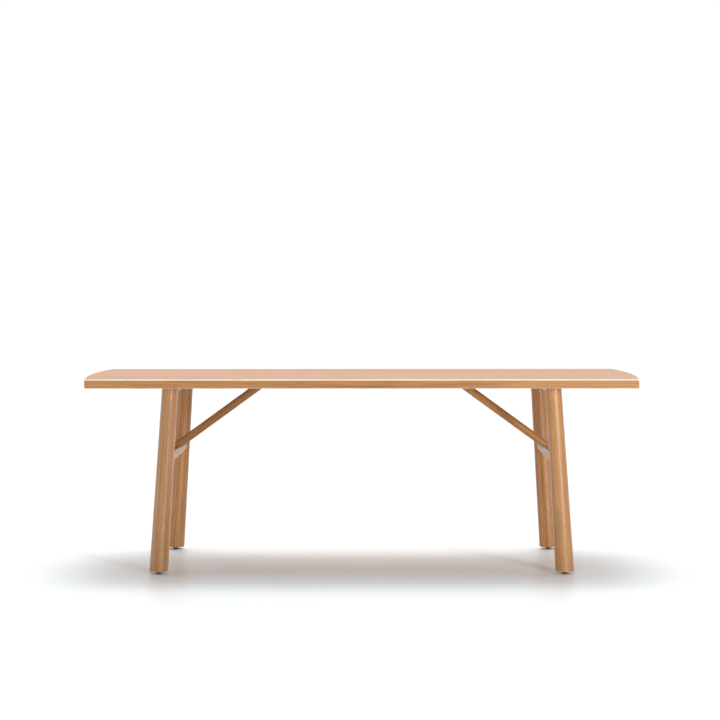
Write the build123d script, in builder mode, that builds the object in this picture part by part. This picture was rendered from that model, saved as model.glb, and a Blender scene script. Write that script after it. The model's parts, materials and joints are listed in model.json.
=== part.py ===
from build123d import *

import os
from math import atan2, cos, radians, sin, tan

# A trestle table: a solid top on two end frames of round, leaning legs, with a round brace at
# each end and a levelling foot under each leg.
# Millimetres, +Z up. The origin is on the floor under the middle of the top. +X runs along the
# top, to the right end, and -Y is the front.

# Whole table
TABLE_HEIGHT = 740.0
TOP_LENGTH = 2140.0
TOP_WIDTH = 950.0
TOP_THICKNESS = 34.0

# Top
END_BOW = 30.0  # how far each end bulges at its middle
CORNER_RADIUS = 7.0
UPPER_ARRIS = 5.0
LOWER_ARRIS = 3.0
BOARD_COUNT = 7

# Legs
LEG_FOOT_DIAMETER = 72.0
LEG_TOP_DIAMETER = 60.0
LEG_LEAN = 3.7  # degrees from upright, outwards along the table
LEG_SPAN_X = 1542.0  # between the leg axes at the floor
LEG_SPAN_Y = 782.0
LEG_ARRIS = 2.5
FOOT_GAP = 8.0  # from the floor to the leg's end, with the foot screwed home

# Stretcher, the lower rail of an end frame
STRETCHER_HEIGHT = 435.0  # to its middle
STRETCHER_WIDTH = 45.0
STRETCHER_DEPTH = 35.0
STRETCHER_ARRIS = 4.0
STRETCHER_TENON_WIDTH = 18.0
STRETCHER_TENON_DEPTH = 25.0

# Top rail, the batten that carries the top
TOP_RAIL_WIDTH = 45.0
TOP_RAIL_DEPTH = 21.0
TOP_RAIL_ARRIS = 3.0
TOP_RAIL_TENON_WIDTH = 28.0
TOP_RAIL_TENON_DEPTH = 10.0
TENON_PAST_AXIS = 6.0  # how far a tenon reaches beyond the leg's axis

# Brace
BRACE_DIAMETER = 31.0
BRACE_TOP_X = 388.0  # where its axis meets the underside of the top
BRACE_RISE = 13.5  # its axis above the stretcher's middle, at the leg's axis
BRACE_TENON_DIAMETER = 16.0
BRACE_TENON_LENGTH = 24.0
BRACE_BOLT_OFFSET = 6.0  # bolt outboard of the axis, at the underside of the top
BRACE_BOLT_GRIP = 14.0  # wood between the bolt's head and the top

# Fasteners
RAIL_BOLT_DIAMETER = 8.0
RAIL_BOLT_LENGTH = 40.0
RAIL_BOLT_SPACING = 250.0
RAIL_BOLT_SLOT = 16.0  # end to end, so that the top can swell and shrink
BRACE_BOLT_DIAMETER = 6.0
BRACE_BOLT_LENGTH = 32.0
HEX_KEY_SHARE = 0.8  # socket width over bolt diameter
HEAD_DIAMETER_SHARE = 1.6
HEAD_HEIGHT_SHARE = 0.75
WASHER_DIAMETER = 20.0
WASHER_THICKNESS = 1.6
INSERT_WALL = 2.0
INSERT_LENGTH = 18.0

# Levelling foot
PAD_DIAMETER = 20.0
PAD_HEIGHT = 5.0
PAD_EDGE = 1.0
FOOT_SCREW_DIAMETER = 8.0
FOOT_SCREW_LENGTH = 38.0  # above its collar
COLLAR_ACROSS_FLATS = 13.0
SPIGOT_DIAMETER = 5.0
SPIGOT_LENGTH = 3.2

# Clearances
GLUE_LINE = 0.1  # between glued wood faces
BOLT_CLEARANCE = 0.3  # round a bolt, in wood
THREAD_CLEARANCE = 0.05  # round a screw, in its insert
END_CLEARANCE = 1.0  # at the bottom of a blind hole
END_ALLOWANCE = 30.0  # raw length that is trimmed off

# What follows from them
UNDERSIDE = TABLE_HEIGHT - TOP_THICKNESS
LEG_RUN = UNDERSIDE / cos(radians(LEG_LEAN))
LEG_TAPER = (LEG_FOOT_DIAMETER - LEG_TOP_DIAMETER) / 2 / LEG_RUN
FOOT_Y = LEG_SPAN_Y / 2
BOARD_WIDTH = TOP_WIDTH / BOARD_COUNT
TOP_RAIL_HEIGHT = UNDERSIDE - TOP_RAIL_DEPTH / 2
STRETCHER_TOP = STRETCHER_HEIGHT + STRETCHER_DEPTH / 2
COLLAR_HEIGHT = FOOT_GAP - PAD_HEIGHT

SIDES = {"left": -1, "right": 1}
ROWS = {"front": -1, "back": 1}
STANDING = (Align.CENTER, Align.CENTER, Align.MIN)
HANGING = (Align.CENTER, Align.CENTER, Align.MAX)


def leg_axis_x(height):
    """Distance of a leg's axis from the middle of the table, at a height."""
    return LEG_SPAN_X / 2 - height * tan(radians(LEG_LEAN))


STRETCHER_X = leg_axis_x(STRETCHER_HEIGHT)
TOP_RAIL_X = leg_axis_x(TOP_RAIL_HEIGHT)
FOOT_X = leg_axis_x(FOOT_GAP)
BRACE_FOOT_Z = STRETCHER_HEIGHT + BRACE_RISE
BRACE_REACH = leg_axis_x(BRACE_FOOT_Z) - BRACE_TOP_X
BRACE_DROP = UNDERSIDE - BRACE_FOOT_Z
BRACE_ANGLE = atan2(BRACE_DROP, BRACE_REACH)
BRACE_BOLT_X = BRACE_TOP_X + BRACE_BOLT_OFFSET
RAIL_BOLT_YS = [-RAIL_BOLT_SPACING, 0, RAIL_BOLT_SPACING]


def leg_plane(side, row, along=0.0):
    """Plane square to a leg's axis, at a distance up the leg from the floor."""
    lean = radians(LEG_LEAN)
    floor_point = Vector(side * LEG_SPAN_X / 2, row * FOOT_Y, 0)
    up_leg = Vector(-side * sin(lean), 0, cos(lean))
    return Plane(origin=floor_point + up_leg * along, x_dir=(0, 1, 0), z_dir=up_leg)


def brace_plane(side, along=0.0):
    """Plane square to a brace's axis, at a distance down it from the top."""
    top_point = Vector(side * BRACE_TOP_X, 0, UNDERSIDE)
    down_brace = Vector(side * cos(BRACE_ANGLE), 0, -sin(BRACE_ANGLE))
    return Plane(origin=top_point + down_brace * along, x_dir=(0, 1, 0), z_dir=down_brace)


def section_plane(x, z, y=0.0, facing=1):
    """Plane across a rail that runs along Y. Its own X axis stands upright."""
    return Plane(origin=(x, y, z), x_dir=(0, 0, 1), z_dir=(0, facing, 0))


def leg_envelope(side, row, gap, mode):
    """The tapered leg, longer than needed at both ends and thicker by a gap."""
    foot_radius = LEG_FOOT_DIAMETER / 2 + gap + LEG_TAPER * END_ALLOWANCE
    top_radius = LEG_TOP_DIAMETER / 2 + gap - LEG_TAPER * END_ALLOWANCE
    length = LEG_RUN + 2 * END_ALLOWANCE
    start = leg_plane(side, row, -END_ALLOWANCE)
    along_leg = Plane(origin=start.origin, x_dir=start.x_dir, z_dir=start.x_dir.cross(start.z_dir))
    with BuildSketch(along_leg) as profile:
        with BuildLine():
            Polyline((0, 0), (foot_radius, 0), (top_radius, length), (0, length), close=True)
        make_face()
    revolve(profile.sketch, axis=Axis(start.origin, start.z_dir), mode=mode)


def stretcher_tenon(gap):
    """Section of the stretcher's tenon, with the ends rounded by its cutter."""
    SlotOverall(STRETCHER_TENON_DEPTH + 2 * gap, STRETCHER_TENON_WIDTH + 2 * gap)


def top_rail_tenon(gap):
    """Section of the top rail's tenon."""
    width = TOP_RAIL_TENON_WIDTH + 2 * gap
    depth = TOP_RAIL_TENON_DEPTH + 2 * gap
    SlotOverall(width, depth, rotation=90)


def make_slab():
    """The whole top, before it is divided into its boards."""
    end_x = TOP_LENGTH / 2
    corner_x = end_x - END_BOW
    corner_y = TOP_WIDTH / 2
    with BuildPart() as slab:
        with BuildSketch(Plane.XY.offset(UNDERSIDE)):
            with BuildLine():
                ThreePointArc((corner_x, -corner_y), (end_x, 0), (corner_x, corner_y))
                Line((corner_x, corner_y), (-corner_x, corner_y))
                ThreePointArc((-corner_x, corner_y), (-end_x, 0), (-corner_x, -corner_y))
                Line((-corner_x, -corner_y), (corner_x, -corner_y))
            make_face()
            fillet(vertices(), CORNER_RADIUS)
        extrude(amount=TOP_THICKNESS)
        fillet(faces().sort_by(Axis.Z)[-1].edges(), UPPER_ARRIS)
        fillet(faces().sort_by(Axis.Z)[0].edges(), LOWER_ARRIS)
    return slab.part


def insert_places():
    """Where each threaded insert enters the top: x, y and the bolt's diameter."""
    places = []
    for side in SIDES.values():
        places.append((side * BRACE_BOLT_X, 0, BRACE_BOLT_DIAMETER))
        for y in RAIL_BOLT_YS:
            places.append((side * TOP_RAIL_X, y, RAIL_BOLT_DIAMETER))
    return places


def make_board(slab, number):
    """One of the long boards that are glued edge to edge."""
    low_y = -TOP_WIDTH / 2 + (number - 1) * BOARD_WIDTH
    high_y = low_y + BOARD_WIDTH
    with BuildPart() as board:
        add(slab)
        if number > 1:
            split(bisect_by=Plane(origin=(0, low_y, 0), z_dir=(0, 1, 0)), keep=Keep.TOP)
        if number < BOARD_COUNT:
            split(bisect_by=Plane(origin=(0, high_y, 0), z_dir=(0, 1, 0)), keep=Keep.BOTTOM)
        for x, y, diameter in insert_places():
            reach = diameter / 2 + INSERT_WALL
            if y + reach > low_y and y - reach < high_y:
                with Locations((x, y, UNDERSIDE)):
                    depth = INSERT_LENGTH + END_CLEARANCE
                    Cylinder(reach, depth, align=STANDING, mode=Mode.SUBTRACT)
    return board.part


def make_leg(side, row):
    """A round, tapered, leaning leg with a mortise for each rail."""
    mortise_end = row * (FOOT_Y + TENON_PAST_AXIS + END_CLEARANCE)
    with BuildPart() as leg:
        leg_envelope(side, row, 0, Mode.ADD)
        split(bisect_by=Plane.XY.offset(UNDERSIDE), keep=Keep.BOTTOM)
        split(bisect_by=Plane.XY.offset(FOOT_GAP), keep=Keep.TOP)
        fillet(faces().sort_by(Axis.Z)[0].edges(), LEG_ARRIS)
        with BuildSketch(section_plane(side * STRETCHER_X, STRETCHER_HEIGHT, mortise_end, -row)):
            stretcher_tenon(GLUE_LINE)
        extrude(amount=LEG_FOOT_DIAMETER, mode=Mode.SUBTRACT)
        with BuildSketch(section_plane(side * TOP_RAIL_X, TOP_RAIL_HEIGHT, mortise_end, -row)):
            top_rail_tenon(GLUE_LINE)
        extrude(amount=LEG_FOOT_DIAMETER, mode=Mode.SUBTRACT)
        with Locations((side * FOOT_X, row * FOOT_Y, FOOT_GAP)):
            Cylinder(
                FOOT_SCREW_DIAMETER / 2 + INSERT_WALL,
                INSERT_LENGTH,
                align=STANDING,
                mode=Mode.SUBTRACT,
            )
            Cylinder(
                FOOT_SCREW_DIAMETER / 2 + BOLT_CLEARANCE,
                FOOT_SCREW_LENGTH + END_CLEARANCE,
                align=STANDING,
                mode=Mode.SUBTRACT,
            )
    return leg.part


def make_stretcher(side):
    """The lower rail of an end frame, coped to the legs, with a socket for the brace."""
    axis_entry = (UNDERSIDE - STRETCHER_TOP) / sin(BRACE_ANGLE)
    socket_end = axis_entry + BRACE_TENON_LENGTH + END_CLEARANCE
    with BuildPart() as stretcher:
        with BuildSketch(section_plane(side * STRETCHER_X, STRETCHER_HEIGHT)):
            RectangleRounded(STRETCHER_DEPTH, STRETCHER_WIDTH, STRETCHER_ARRIS)
        extrude(amount=FOOT_Y, both=True)
        for row in ROWS.values():
            leg_envelope(side, row, GLUE_LINE, Mode.SUBTRACT)
        with BuildSketch(section_plane(side * STRETCHER_X, STRETCHER_HEIGHT)):
            stretcher_tenon(0)
        extrude(amount=FOOT_Y + TENON_PAST_AXIS, both=True)
        with Locations(brace_plane(side, socket_end)):
            Cylinder(
                BRACE_TENON_DIAMETER / 2 + GLUE_LINE,
                socket_end,
                align=HANGING,
                mode=Mode.SUBTRACT,
            )
    return stretcher.part


def make_top_rail(side):
    """The batten under the top, with slots for the bolts that hold the top."""
    with BuildPart() as rail:
        with BuildSketch(section_plane(side * TOP_RAIL_X, TOP_RAIL_HEIGHT)):
            Rectangle(TOP_RAIL_DEPTH, TOP_RAIL_WIDTH)
        extrude(amount=FOOT_Y, both=True)
        fillet(edges().filter_by(Axis.Y).group_by(Axis.Z)[0], TOP_RAIL_ARRIS)
        for row in ROWS.values():
            leg_envelope(side, row, GLUE_LINE, Mode.SUBTRACT)
        with BuildSketch(section_plane(side * TOP_RAIL_X, TOP_RAIL_HEIGHT)):
            top_rail_tenon(0)
        extrude(amount=FOOT_Y + TENON_PAST_AXIS, both=True)
        with BuildSketch(Plane.XY.offset(UNDERSIDE)):
            width = RAIL_BOLT_DIAMETER + 2 * BOLT_CLEARANCE
            with Locations((side * TOP_RAIL_X, 0)):
                Circle(width / 2)
            with Locations(*[(side * TOP_RAIL_X, y) for y in RAIL_BOLT_YS if y]):
                SlotOverall(RAIL_BOLT_SLOT, width, rotation=90)
        extrude(amount=-TOP_RAIL_DEPTH, mode=Mode.SUBTRACT)
    return rail.part


def make_brace(side):
    """A dowel from the stretcher to the top: mitred above, coped and tenoned below."""
    radius = BRACE_DIAMETER / 2
    axis_entry = (UNDERSIDE - STRETCHER_TOP) / sin(BRACE_ANGLE)
    # The square end lies wholly inside the stretcher, so that coping leaves one clean foot.
    end = (UNDERSIDE - STRETCHER_TOP + radius * cos(BRACE_ANGLE)) / sin(BRACE_ANGLE)
    head_seat = UNDERSIDE - BRACE_BOLT_GRIP
    with BuildPart() as brace:
        with Locations(brace_plane(side, -END_ALLOWANCE)):
            Cylinder(radius, END_ALLOWANCE + end + END_CLEARANCE, align=STANDING)
        split(bisect_by=Plane.XY.offset(UNDERSIDE), keep=Keep.BOTTOM)
        with BuildSketch(section_plane(side * STRETCHER_X, STRETCHER_HEIGHT)):
            RectangleRounded(
                STRETCHER_DEPTH + 2 * GLUE_LINE,
                STRETCHER_WIDTH + 2 * GLUE_LINE,
                STRETCHER_ARRIS + GLUE_LINE,
            )
        extrude(amount=BRACE_DIAMETER, both=True, mode=Mode.SUBTRACT)
        with Locations(brace_plane(side, axis_entry - BRACE_DIAMETER)):
            Cylinder(
                BRACE_TENON_DIAMETER / 2,
                BRACE_DIAMETER + BRACE_TENON_LENGTH,
                align=STANDING,
            )
        with Locations((side * BRACE_BOLT_X, 0, head_seat)):
            Cylinder(
                BRACE_BOLT_DIAMETER / 2 + BOLT_CLEARANCE,
                BRACE_BOLT_GRIP,
                align=STANDING,
                mode=Mode.SUBTRACT,
            )
            Cylinder(
                BRACE_BOLT_DIAMETER * HEAD_DIAMETER_SHARE / 2 + BOLT_CLEARANCE,
                BRACE_DIAMETER,
                align=HANGING,
                mode=Mode.SUBTRACT,
            )
    return brace.part


def socket_bolts(places, seat, diameter, length):
    """Bolts pointing up, with the flat of each round head at the seat's height."""
    head_height = diameter * HEAD_HEIGHT_SHARE
    head_radius = diameter * HEAD_DIAMETER_SHARE / 2
    with BuildPart() as bolts:
        with Locations(*[(x, y, seat) for x, y in places]):
            Cylinder(diameter / 2, length, align=STANDING)
            Cylinder(head_radius, head_height, align=HANGING)
        with BuildSketch(Plane.XY.offset(seat - head_height)):
            with Locations(*places):
                RegularPolygon(diameter * HEX_KEY_SHARE / 2, 6, major_radius=False)
        extrude(amount=head_height * HEAD_HEIGHT_SHARE, mode=Mode.SUBTRACT)
    return bolts.part


def sleeves(places, base, bolt_diameter):
    """Threaded inserts standing on a height, their threads drawn as plain bores."""
    with BuildPart() as inserts:
        with BuildSketch(Plane.XY.offset(base)):
            with Locations(*places):
                Circle(bolt_diameter / 2 + INSERT_WALL - GLUE_LINE)
                Circle(bolt_diameter / 2 + THREAD_CLEARANCE, mode=Mode.SUBTRACT)
        extrude(amount=INSERT_LENGTH)
    return inserts.part


def make_washers(places, top):
    """Flat washers hanging under a height."""
    with BuildPart() as washers:
        with BuildSketch(Plane.XY.offset(top)):
            with Locations(*places):
                Circle(WASHER_DIAMETER / 2)
                Circle(RAIL_BOLT_DIAMETER / 2 + BOLT_CLEARANCE, mode=Mode.SUBTRACT)
        extrude(amount=-WASHER_THICKNESS)
    return washers.part


def make_foot_pad(side, row):
    """A round pad on the floor, with a bore that the screw's spigot turns in."""
    with BuildPart() as pad:
        with Locations((side * FOOT_X, row * FOOT_Y, 0)):
            Cylinder(PAD_DIAMETER / 2, PAD_HEIGHT, align=STANDING)
        fillet(edges().filter_by(GeomType.CIRCLE), PAD_EDGE)
        with Locations((side * FOOT_X, row * FOOT_Y, PAD_HEIGHT)):
            Cylinder(
                SPIGOT_DIAMETER / 2 + THREAD_CLEARANCE,
                SPIGOT_LENGTH + THREAD_CLEARANCE,
                align=HANGING,
                mode=Mode.SUBTRACT,
            )
    return pad.part


def make_foot_screw(side, row):
    """The levelling screw: spigot in the pad, hexagon collar, thread in the leg."""
    place = (side * FOOT_X, row * FOOT_Y)
    with BuildPart() as screw:
        with BuildSketch(Plane.XY.offset(PAD_HEIGHT)):
            with Locations(place):
                RegularPolygon(COLLAR_ACROSS_FLATS / 2, 6, major_radius=False)
        extrude(amount=COLLAR_HEIGHT)
        with Locations((*place, PAD_HEIGHT)):
            Cylinder(SPIGOT_DIAMETER / 2, SPIGOT_LENGTH, align=HANGING)
        with Locations((*place, FOOT_GAP)):
            Cylinder(FOOT_SCREW_DIAMETER / 2, FOOT_SCREW_LENGTH, align=STANDING)
        chamfer(faces().sort_by(Axis.Z)[-1].edges(), PAD_EDGE)
    return screw.part


def save(part, name):
    """Label a finished piece and write its STEP file."""
    part.label = name
    export_step(part, f"parts/{name}.step")


os.makedirs("parts", exist_ok=True)

whole_top = make_slab()
for number in range(1, BOARD_COUNT + 1):
    save(make_board(whole_top, number), f"top_board_{number}")

for side_name, side in SIDES.items():
    save(make_stretcher(side), f"stretcher_{side_name}")
    save(make_top_rail(side), f"top_rail_{side_name}")
    save(make_brace(side), f"brace_{side_name}")
    for row_name, row in ROWS.items():
        save(make_leg(side, row), f"leg_{row_name}_{side_name}")
        save(make_foot_pad(side, row), f"foot_pad_{row_name}_{side_name}")
        save(make_foot_screw(side, row), f"foot_screw_{row_name}_{side_name}")

rail_places = [(side * TOP_RAIL_X, y) for side in SIDES.values() for y in RAIL_BOLT_YS]
brace_places = [(side * BRACE_BOLT_X, 0) for side in SIDES.values()]
foot_places = [(side * FOOT_X, row * FOOT_Y) for side in SIDES.values() for row in ROWS.values()]
rail_underside = UNDERSIDE - TOP_RAIL_DEPTH
washer_underside = rail_underside - WASHER_THICKNESS
brace_seat = UNDERSIDE - BRACE_BOLT_GRIP

save(make_washers(rail_places, rail_underside), "rail_washers")
rail_bolts = socket_bolts(rail_places, washer_underside, RAIL_BOLT_DIAMETER, RAIL_BOLT_LENGTH)
brace_bolts = socket_bolts(brace_places, brace_seat, BRACE_BOLT_DIAMETER, BRACE_BOLT_LENGTH)
save(rail_bolts, "rail_bolts")
save(brace_bolts, "brace_bolts")
save(sleeves(rail_places, UNDERSIDE, RAIL_BOLT_DIAMETER), "rail_inserts")
save(sleeves(brace_places, UNDERSIDE, BRACE_BOLT_DIAMETER), "brace_inserts")
save(sleeves(foot_places, FOOT_GAP, FOOT_SCREW_DIAMETER), "foot_inserts")
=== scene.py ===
import bpy
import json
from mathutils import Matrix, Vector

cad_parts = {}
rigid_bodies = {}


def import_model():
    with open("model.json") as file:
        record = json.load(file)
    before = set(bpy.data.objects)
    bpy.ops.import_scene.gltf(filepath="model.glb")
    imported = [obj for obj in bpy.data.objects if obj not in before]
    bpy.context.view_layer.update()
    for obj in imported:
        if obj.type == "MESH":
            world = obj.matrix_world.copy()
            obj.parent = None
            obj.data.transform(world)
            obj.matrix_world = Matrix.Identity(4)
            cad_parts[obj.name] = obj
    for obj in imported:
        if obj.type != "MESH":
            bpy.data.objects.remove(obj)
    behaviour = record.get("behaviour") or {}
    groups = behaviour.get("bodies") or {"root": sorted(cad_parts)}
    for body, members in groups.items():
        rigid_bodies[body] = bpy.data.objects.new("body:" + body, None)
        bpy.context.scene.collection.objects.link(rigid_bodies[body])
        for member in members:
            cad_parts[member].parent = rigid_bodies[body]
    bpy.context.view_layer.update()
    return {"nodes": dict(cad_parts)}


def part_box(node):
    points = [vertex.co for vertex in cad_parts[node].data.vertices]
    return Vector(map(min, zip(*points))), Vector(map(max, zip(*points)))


for leftover in list(bpy.data.objects):
    bpy.data.objects.remove(leftover)

import json
import math
import random
from collections import namedtuple

from mathutils import Euler, Matrix, Vector

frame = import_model()
nodes = frame["nodes"]
scene = bpy.context.scene
scene.view_settings.view_transform = "Standard"

# Metres and radians, in the shared frame: +X to the right end, -Y to the front, +Z up.
CAMERA_PLACE = (0.0049, -8.999, 1.1426)
CAMERA_LENS = 113.9
CAMERA_SENSOR = 36.0
CAMERA_DOWN = 0.03861
CAMERA_TURN = 0.00132
CAMERA_ROLL = -0.0005

LEG_LEAN = math.radians(3.7)
BRACE_ANGLE = math.radians(36.03)
SIDES = {"left": -1, "right": 1}
ROWS = ("front", "back")


# ---------------------------------------------------------------- node helpers

class Graph:
    """A material's node tree, with short calls for the nodes that it uses."""

    def __init__(self, name):
        self.material = bpy.data.materials.new(name)
        self.material.use_nodes = True
        self.tree = self.material.node_tree
        self.tree.nodes.clear()
        self.shader = self.tree.nodes.new("ShaderNodeBsdfPrincipled")
        output = self.tree.nodes.new("ShaderNodeOutputMaterial")
        self.link(self.shader.outputs["BSDF"], output.inputs["Surface"])
        self.coords = self.tree.nodes.new("ShaderNodeTexCoord")

    def link(self, source, target):
        self.tree.links.new(source, target)

    def put(self, socket, value):
        """Links a socket to another, or sets it to a constant."""
        if isinstance(value, bpy.types.NodeSocket):
            self.link(value, socket)
        else:
            socket.default_value = value

    def math(self, operation, a, b=0.0, c=0.0, clamp=False):
        node = self.tree.nodes.new("ShaderNodeMath")
        node.operation = operation
        node.use_clamp = clamp
        for socket, value in zip(node.inputs, (a, b, c)):
            self.put(socket, value)
        return node.outputs[0]

    def vector(self, operation, a, b=(0, 0, 0)):
        node = self.tree.nodes.new("ShaderNodeVectorMath")
        node.operation = operation
        self.put(node.inputs[0], a)
        self.put(node.inputs[1], b)
        return node.outputs["Value" if operation in ("DOT_PRODUCT", "LENGTH") else "Vector"]

    def mapping(self, vector, kind="POINT", place=(0, 0, 0), turn=(0, 0, 0), scale=(1, 1, 1)):
        node = self.tree.nodes.new("ShaderNodeMapping")
        node.vector_type = kind
        self.put(node.inputs["Vector"], vector)
        node.inputs["Location"].default_value = place
        node.inputs["Rotation"].default_value = turn
        node.inputs["Scale"].default_value = scale
        return node.outputs["Vector"]

    def noise(self, vector, scale=(1, 1, 1), place=(0, 0, 0), detail=2.0, roughness=0.5,
              output="Fac"):
        node = self.tree.nodes.new("ShaderNodeTexNoise")
        node.inputs["Scale"].default_value = 1.0
        node.inputs["Detail"].default_value = detail
        node.inputs["Roughness"].default_value = roughness
        self.link(self.mapping(vector, place=place, scale=scale), node.inputs["Vector"])
        return node.outputs[output]

    def step(self, value, low, high, to_low=0.0, to_high=1.0):
        """A smooth step from to_low, at low, to to_high, at high."""
        node = self.tree.nodes.new("ShaderNodeMapRange")
        node.interpolation_type = "SMOOTHSTEP"
        for key, given in (("Value", value), ("From Min", low), ("From Max", high),
                           ("To Min", to_low), ("To Max", to_high)):
            self.put(node.inputs[key], given)
        return node.outputs["Result"]

    def ramp(self, value, stops):
        node = self.tree.nodes.new("ShaderNodeValToRGB")
        node.color_ramp.elements[0].position = stops[0][0]
        node.color_ramp.elements[0].color = (*stops[0][1], 1)
        node.color_ramp.elements[1].position = stops[-1][0]
        node.color_ramp.elements[1].color = (*stops[-1][1], 1)
        for place, color in stops[1:-1]:
            node.color_ramp.elements.new(place).color = (*color, 1)
        self.link(value, node.inputs["Fac"])
        return node.outputs["Color"]

    def mix(self, share, a, b, blend="MIX"):
        node = self.tree.nodes.new("ShaderNodeMix")
        node.data_type = "RGBA"
        node.blend_type = blend
        self.put(node.inputs[0], share)
        self.put(node.inputs[6], a if isinstance(a, bpy.types.NodeSocket) else (*a, 1))
        self.put(node.inputs[7], b if isinstance(b, bpy.types.NodeSocket) else (*b, 1))
        return node.outputs[2]

    def bump(self, height, strength, distance):
        node = self.tree.nodes.new("ShaderNodeBump")
        node.inputs["Strength"].default_value = strength
        node.inputs["Distance"].default_value = distance
        self.link(height, node.inputs["Height"])
        return node.outputs["Normal"]


# ---------------------------------------------------------------- materials

PALE = (0.690, 0.345, 0.125)
MIDDLE = (0.525, 0.248, 0.082)
DARK = (0.300, 0.122, 0.036)
PORE = (0.120, 0.044, 0.014)
# the pale arris colour: partly rubbed wear, partly a painted highlight along the edges
RUBBED_AND_HIGHLIGHT = (1.000, 0.910, 0.800)

# Where those colours lie on the tone of the wood, and what each layer of figure adds to it.
PALE_AT, MIDDLE_AT, DARK_AT = 0.50, 0.79, 1.00
RING_SHARE = 0.20
BAND_SHARE = 0.64
STREAK_SHARE = 0.50
FIBRE_SHARE = 0.22

# Noise repeats per metre, along the grain and across it both ways.
SWAY_SCALE = (1.1, 7, 7)
STREAK_SCALE = (3.5, 150, 150)
FIBRE_SCALE = (14, 900, 900)
PORE_SCALE = (75, 1700, 1700)
RUB_SCALE = (9, 60, 60)

RING_SWAY = 0.030
GRAIN_RELIEF = 0.00025
COAT_ROUGHNESS = 0.28
WAVE_REPEAT = math.tau / 20  # scale at which the wave texture repeats once a metre

# first field: strength of the pale arrises, partly wear and partly painted highlight;
# coat: clear coat weight; gloss: specular level
Finish = namedtuple("Finish", "wear coat gloss")
TOP_FINISH = Finish(0.88, 0.0, 0.42)
LEG_FINISH = {"front": Finish(0.35, 0.40, 0.50), "back": Finish(0.35, 0.05, 0.50)}
RAIL_FINISH = Finish(0.35, 0.0, 0.30)
BRACE_FINISH = Finish(0.35, 0.0, 0.35)


def shade(color, by):
    return tuple(channel * by for channel in color)


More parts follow.
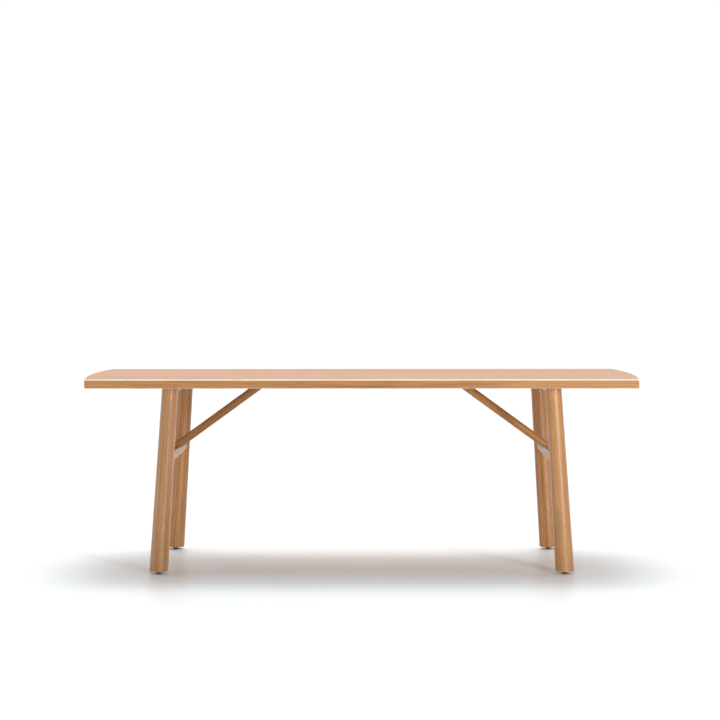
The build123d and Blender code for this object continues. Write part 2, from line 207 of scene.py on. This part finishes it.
def wood(name, turn, place, pith, spacing, tone, seed, arris_axes, band, finish,
         upper_arris_highlight=False):
    """Solid wood whose grain runs along its own X axis: growth rings round an off-centre pith,
    lengthwise tone bands, fibres and short pores, which end grain cuts across. The arrises lie
    between the two arris_axes, or all round the first if the second is None."""
    g = Graph(name)
    draw = random.Random(seed)
    shift = tuple(draw.uniform(-40, 40) for _ in range(3))
    local = g.mapping(g.coords.outputs["Object"], "TEXTURE", place, turn)

    # growth rings, bent a little by slow noise and tilted so that flat faces show long arches
    slow = g.noise(local, SWAY_SCALE, shift, 2.0, 0.5, "Color")
    centred = g.vector("SUBTRACT", slow, (0.5, 0.5, 0.5))
    sway = g.vector("MULTIPLY", centred, (0, RING_SWAY, RING_SWAY))
    tilt = (0, draw.uniform(-0.018, 0.018), draw.uniform(-0.012, 0.012))
    around = g.mapping(g.vector("ADD", local, sway), "POINT", (0, *pith), tilt)
    rings = g.tree.nodes.new("ShaderNodeTexWave")
    rings.wave_type = "RINGS"
    rings.rings_direction = "X"
    rings.wave_profile = "SAW"
    rings.inputs["Scale"].default_value = WAVE_REPEAT / spacing
    rings.inputs["Distortion"].default_value = 0.0
    g.link(around, rings.inputs["Vector"])
    ring = rings.outputs["Fac"]

    bands = g.noise(local, band, shift[::-1], 3.0, 0.55)
    streaks = g.noise(local, STREAK_SCALE, shift, 3.0, 0.6)
    fibres = g.noise(local, FIBRE_SCALE, shift, 3.0, 0.65)
    pores = g.noise(local, PORE_SCALE, shift, 1.0, 0.5)
    fleck = g.step(pores, 0.63, 0.73)

    tone_value = g.math("MULTIPLY", ring, RING_SHARE)
    tone_value = g.math("MULTIPLY_ADD", bands, BAND_SHARE, tone_value)
    tone_value = g.math("MULTIPLY_ADD", streaks, STREAK_SHARE, tone_value)
    tone_value = g.math("MULTIPLY_ADD", fibres, FIBRE_SHARE, tone_value)
    color = g.ramp(tone_value, ((PALE_AT, shade(PALE, tone)), (MIDDLE_AT, shade(MIDDLE, tone)),
                                (DARK_AT, shade(DARK, tone))))
    color = g.mix(g.math("MULTIPLY", fleck, 0.55), color, shade(PORE, tone))

    # end grain: darker, with open pores
    along = turn.to_matrix()
    normal = g.coords.outputs["Normal"]
    facing = [g.math("ABSOLUTE", g.vector("DOT_PRODUCT", normal, tuple(along.col[i])))
              for i in range(3)]
    end_face = g.step(facing[0], 0.55, 0.85)
    color = g.mix(g.math("MULTIPLY", end_face, 0.55), color,
                  g.mix(ring, shade(MIDDLE, tone * 0.72), shade(DARK, tone * 0.70)))

    # arrises: paler and smoother where two faces meet, partly wear, partly painted highlight
    a, b = arris_axes
    across = facing[b] if b is not None else g.math(
        "SQRT", g.math("SUBTRACT", 1.0, g.math("MULTIPLY", facing[a], facing[a]), clamp=True))
    corner = g.math("MULTIPLY", g.math("MULTIPLY", facing[a], across), 2.0)
    patchy = g.step(g.noise(local, RUB_SCALE, shift, 2.0), 0.30, 0.62)
    arris_wear_and_highlight = g.math("MULTIPLY", g.step(corner, 0.18, 0.55),
                  g.math("MULTIPLY_ADD", patchy, 0.16, 0.84))
    # top boards: lower arrises get a third, as the painted highlight is brighter on upper
    # arrises
    if upper_arris_highlight:
        upward = g.vector("DOT_PRODUCT", normal, tuple(along.col[a]))
        arris_wear_and_highlight = g.math("MULTIPLY", arris_wear_and_highlight, g.step(upward, -0.1, 0.1, 0.35, 1.0))
    color = g.mix(g.math("MULTIPLY", arris_wear_and_highlight, finish.wear), color, RUBBED_AND_HIGHLIGHT)
    g.link(color, g.shader.inputs["Base Color"])

    rough = g.math("MULTIPLY_ADD", fibres, 0.14, 0.30)
    rough = g.math("MULTIPLY_ADD", fleck, 0.22, rough)
    rough = g.math("MULTIPLY_ADD", end_face, 0.16, rough)
    rough = g.math("MULTIPLY_ADD", arris_wear_and_highlight, -0.14, rough, clamp=True)
    g.link(rough, g.shader.inputs["Roughness"])
    g.shader.inputs["Specular IOR Level"].default_value = finish.gloss
    g.shader.inputs["Coat Weight"].default_value = finish.coat
    g.shader.inputs["Coat Roughness"].default_value = COAT_ROUGHNESS

    height = g.math("MULTIPLY_ADD", fibres, 0.5, g.math("MULTIPLY", streaks, 0.35))
    height = g.math("MULTIPLY_ADD", fleck, -0.8, height)
    g.link(g.bump(height, 0.35, GRAIN_RELIEF), g.shader.inputs["Normal"])
    return g.material


def metal(name, color, worn_color, metallic, roughness, grain, scuff):
    """Plated or turned metal: fine machining grain, dull patches and rubbed high spots."""
    g = Graph(name)
    local = g.coords.outputs["Object"]
    fine = g.noise(local, grain, (3, 1, 7), 2.0, 0.6)
    patch = g.noise(local, (260, 260, 260), (11, 5, 2), 4.0, 0.6)
    rubbed = g.math("MULTIPLY", g.step(patch, 0.50, 0.68), scuff)
    g.link(g.mix(rubbed, g.mix(fine, shade(color, 0.86), color), worn_color),
           g.shader.inputs["Base Color"])
    rough = g.math("MULTIPLY_ADD", fine, 0.14, roughness)
    g.link(g.math("MULTIPLY_ADD", patch, 0.18, rough, clamp=True), g.shader.inputs["Roughness"])
    g.shader.inputs["Metallic"].default_value = metallic
    g.link(g.bump(fine, 0.25, 0.00004), g.shader.inputs["Normal"])
    return g.material


def plastic(name, color):
    """Moulded matt plastic: a fine pebbled skin, slightly polished in patches by the floor."""
    g = Graph(name)
    local = g.coords.outputs["Object"]
    cells = g.tree.nodes.new("ShaderNodeTexVoronoi")
    cells.inputs["Scale"].default_value = 2600
    g.link(local, cells.inputs["Vector"])
    skin = cells.outputs["Distance"]
    patch = g.noise(local, (180, 180, 180), (2, 9, 4), 3.0)
    g.link(g.mix(patch, shade(color, 0.7), shade(color, 1.6)), g.shader.inputs["Base Color"])
    g.link(g.math("MULTIPLY_ADD", patch, 0.22, 0.44), g.shader.inputs["Roughness"])
    g.link(g.bump(skin, 0.3, 0.00006), g.shader.inputs["Normal"])
    return g.material


def dress(node, material):
    """Gives a CAD node its material."""
    for slot in nodes[node].material_slots:
        slot.material = material


def middle_of(node):
    low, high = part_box(node)
    return (low + high) / 2


def frame_turn(along, side):
    """Rotation whose X axis runs along the grain, and whose Y axis lies near side."""
    x = Vector(along).normalized()
    z = x.cross(Vector(side)).normalized()
    y = z.cross(x)
    return Matrix((x, y, z)).transposed().to_euler()


UP_AND_OUT = {name: Vector((-side * math.sin(LEG_LEAN), 0, math.cos(LEG_LEAN)))
              for name, side in SIDES.items()}

# Repeats per metre of the broad tone bands, along the grain and across it.
BOARD_BAND = (0.35, 28, 28)
LEG_BAND = (0.7, 55, 55)
RAIL_BAND = (0.8, 60, 60)
BRACE_BAND = (0.8, 70, 70)

# pith (m, across and up from the board's middle), ring spacing (m), tone
BOARDS = (((0.045, 0.060), 0.0034, 1.00), ((-0.110, 0.030), 0.0028, 0.96),
          ((0.010, -0.075), 0.0038, 1.04), ((0.130, 0.045), 0.0030, 0.98),
          ((-0.030, 0.085), 0.0036, 1.03), ((0.095, -0.050), 0.0027, 0.95),
          ((-0.060, -0.070), 0.0033, 1.01))
for number, (pith, spacing, tone) in enumerate(BOARDS, 1):
    board = f"top_board_{number}"
    turn = frame_turn((1, 0, 0), (0, 1, 0))
    dress(board, wood(f"wood_{board}", turn, middle_of(board), pith, spacing, tone, number,
                      (2, None), BOARD_BAND, TOP_FINISH, upper_arris_highlight=True))

# seed, pith (m, across from the leg's middle), tone: partly random, partly painted shade,
# darker on the back and left legs, which get less light
LEGS = {("front", "left"): (20, (0.055, 0.030), 0.88),
        ("back", "left"): (21, (-0.048, 0.040), 0.82),
        ("front", "right"): (22, (0.062, -0.035), 1.00),
        ("back", "right"): (23, (-0.040, -0.058), 0.92)}
LEG_RINGS = 0.0031
RAIL_RINGS, RAIL_PITH, RAIL_TONE = 0.0029, (0.040, 0.065), 0.80
# the brace tones are painted shade: darker under the top, the left brace most
BRACE_RINGS, BRACE_PITH, BRACE_SHADE = 0.0030, (0.050, -0.032), {"left": 0.66, "right": 0.90}
for index, side in enumerate(SIDES):
    for row in ROWS:
        leg = f"leg_{row}_{side}"
        seed, pith, tone = LEGS[row, side]
        turn = frame_turn(UP_AND_OUT[side], (0, 1, 0))
        dress(leg, wood(f"wood_{leg}", turn, middle_of(leg), pith, LEG_RINGS, tone, seed,
                        (0, None), LEG_BAND, LEG_FINISH[row]))
    for kind, seed in (("stretcher", 40 + index), ("top_rail", 50 + index)):
        rail = f"{kind}_{side}"
        turn = frame_turn((0, 1, 0), (-1, 0, 0))
        dress(rail, wood(f"wood_{rail}", turn, middle_of(rail), RAIL_PITH, RAIL_RINGS,
                         RAIL_TONE, seed, (1, 2), RAIL_BAND, RAIL_FINISH))
    brace = f"brace_{side}"
    down = (SIDES[side] * math.cos(BRACE_ANGLE), 0, -math.sin(BRACE_ANGLE))
    dress(brace, wood(f"wood_{brace}", frame_turn(down, (0, 1, 0)), middle_of(brace),
                      BRACE_PITH, BRACE_RINGS, BRACE_SHADE[side], 60 + index, (0, None),
                      BRACE_BAND, BRACE_FINISH))

pad_plastic = plastic("pad_plastic", (0.016, 0.015, 0.015))
black_oxide = metal("black_oxide", (0.035, 0.034, 0.036), (0.16, 0.155, 0.15), 0.85, 0.30,
                    (900, 900, 2600), 0.35)
zinc_plate = metal("zinc_plate", (0.60, 0.60, 0.585), (0.70, 0.69, 0.66), 1.0, 0.22,
                   (700, 700, 2600), 0.30)
turned_brass = metal("turned_brass", (0.74, 0.54, 0.24), (0.84, 0.66, 0.36), 1.0, 0.22,
                     (500, 500, 3600), 0.35)
for side in SIDES:
    for row in ROWS:
        dress(f"foot_pad_{row}_{side}", pad_plastic)
        dress(f"foot_screw_{row}_{side}", black_oxide)
for node in ("rail_bolts", "rail_washers", "brace_bolts"):
    dress(node, zinc_plate)
for node in ("rail_inserts", "brace_inserts", "foot_inserts"):
    dress(node, turned_brass)


# ---------------------------------------------------------------- stage, light and camera

def make_floor():
    """A large pale floor with a soft sheen, and a painted cool tint near the table that offsets
    the warm light coming back off the wood into its shadow."""
    half = FLOOR_HALF
    corners = ((-half, -half, 0), (half, -half, 0), (half, half, 0), (-half, half, 0))
    mesh = bpy.data.meshes.new("floor")
    mesh.from_pydata(corners, [], [(0, 1, 2, 3)])
    floor = bpy.data.objects.new("floor", mesh)
    scene.collection.objects.link(floor)
    g = Graph("floor_paint")
    local = g.coords.outputs["Object"]
    mottle = g.noise(local, (1.5, 1.5, 1.5), (0, 0, 0), 3.0)
    # a painted cool tint near the table, offsetting the warm light the wood throws into the
    # shadow
    near = g.ramp(mottle, ((0.3, (0.830, 0.882, 0.910)), (0.7, (0.850, 0.902, 0.930))))
    away = g.step(g.vector("LENGTH", local), *FLOOR_NEUTRAL)
    g.link(g.mix(away, near, (0.900, 0.900, 0.900)), g.shader.inputs["Base Color"])
    g.shader.inputs["Roughness"].default_value = 0.38
    g.shader.inputs["Specular IOR Level"].default_value = 0.30
    mesh.materials.append(g.material)


def make_light(name, place, aim, size, power):
    """A soft rectangular lamp at a place, turned to a point."""
    lamp = bpy.data.lights.new(name, "AREA")
    lamp.shape = "RECTANGLE"
    lamp.size, lamp.size_y = size
    lamp.energy = power
    holder = bpy.data.objects.new(name, lamp)
    holder.location = place
    holder.rotation_euler = (Vector(aim) - Vector(place)).to_track_quat("-Z", "Y").to_euler()
    scene.collection.objects.link(holder)


def make_sky():
    """A white studio: a bright wall behind, dimmer ones in front, and a darker ceiling."""
    world = bpy.data.worlds.new("studio")
    world.use_nodes = True
    tree = world.node_tree
    coords = tree.nodes.new("ShaderNodeTexCoord")
    split = tree.nodes.new("ShaderNodeSeparateXYZ")
    tree.links.new(coords.outputs["Generated"], split.inputs["Vector"])
    factors = []
    for axis, low, high, at_low, at_high in (("Z", WALL_TOP, CEILING_START, 1.0, CEILING_SHARE),
                                             ("Y", -0.4, 0.7, FRONT_WALL, BACK_WALL)):
        node = tree.nodes.new("ShaderNodeMapRange")
        node.interpolation_type = "SMOOTHSTEP"
        for key, value in (("From Min", low), ("From Max", high), ("To Min", at_low),
                           ("To Max", at_high)):
            node.inputs[key].default_value = value
        tree.links.new(split.outputs[axis], node.inputs["Value"])
        factors.append(node.outputs["Result"])
    product = tree.nodes.new("ShaderNodeMath")
    product.operation = "MULTIPLY"
    for source, target in zip(factors, product.inputs):
        tree.links.new(source, target)
    tree.links.new(product.outputs[0], tree.nodes["Background"].inputs["Strength"])
    tree.nodes["Background"].inputs["Color"].default_value = (1, 1, 1, 1)
    scene.world = world


def make_overhead(name, spread, strength):
    """A very large, soft overhead light, tilted so that the shadow falls to the front."""
    sun = bpy.data.lights.new(name, "SUN")
    sun.angle = spread
    sun.energy = strength
    holder = bpy.data.objects.new(name, sun)
    holder.rotation_euler = (-OVERHEAD_TILT, 0, 0)
    scene.collection.objects.link(holder)


BACK_WALL = 1.02
FRONT_WALL = 0.47
CEILING_SHARE = 0.25
WALL_TOP = 0.14
CEILING_START = 0.42

FLOOR_HALF = 30.0
FLOOR_NEUTRAL = (1.0, 2.6)  # m from the middle of the table, where the painted cool tint fades out

# A wide light for the shadow's long tails, and a narrower one for its dark core.
OVERHEAD_TILT = math.radians(23.3)
WIDE_SPREAD, WIDE_STRENGTH = math.radians(76), 2.50
CORE_SPREAD, CORE_STRENGTH = math.radians(24), 0.92

# Area lamps: place (m), aim (m), size (m), power (W).
LAMPS = {"light_right": ((4.2, -8.2, 2.25), (0.6, 0, 0.36), (0.90, 4.4), 368),
         "light_left": ((-5.0, -1.2, 1.1), (-0.5, 0, 0.4), (0.4, 2.2), 12)}

make_floor()
make_sky()
make_overhead("overhead_wide", WIDE_SPREAD, WIDE_STRENGTH)
make_overhead("overhead_core", CORE_SPREAD, CORE_STRENGTH)
for lamp_name, settings in LAMPS.items():
    make_light(lamp_name, *settings)

lens = bpy.data.cameras.new("camera")
lens.lens = CAMERA_LENS
lens.sensor_width = CAMERA_SENSOR
lens.clip_end = 200
camera = bpy.data.objects.new("camera", lens)
camera.location = CAMERA_PLACE
level = Euler((math.pi / 2 - CAMERA_DOWN, 0, CAMERA_TURN)).to_matrix()
camera.rotation_euler = (level @ Matrix.Rotation(CAMERA_ROLL, 3, "Z")).to_euler()
scene.collection.objects.link(camera)
scene.camera = camera
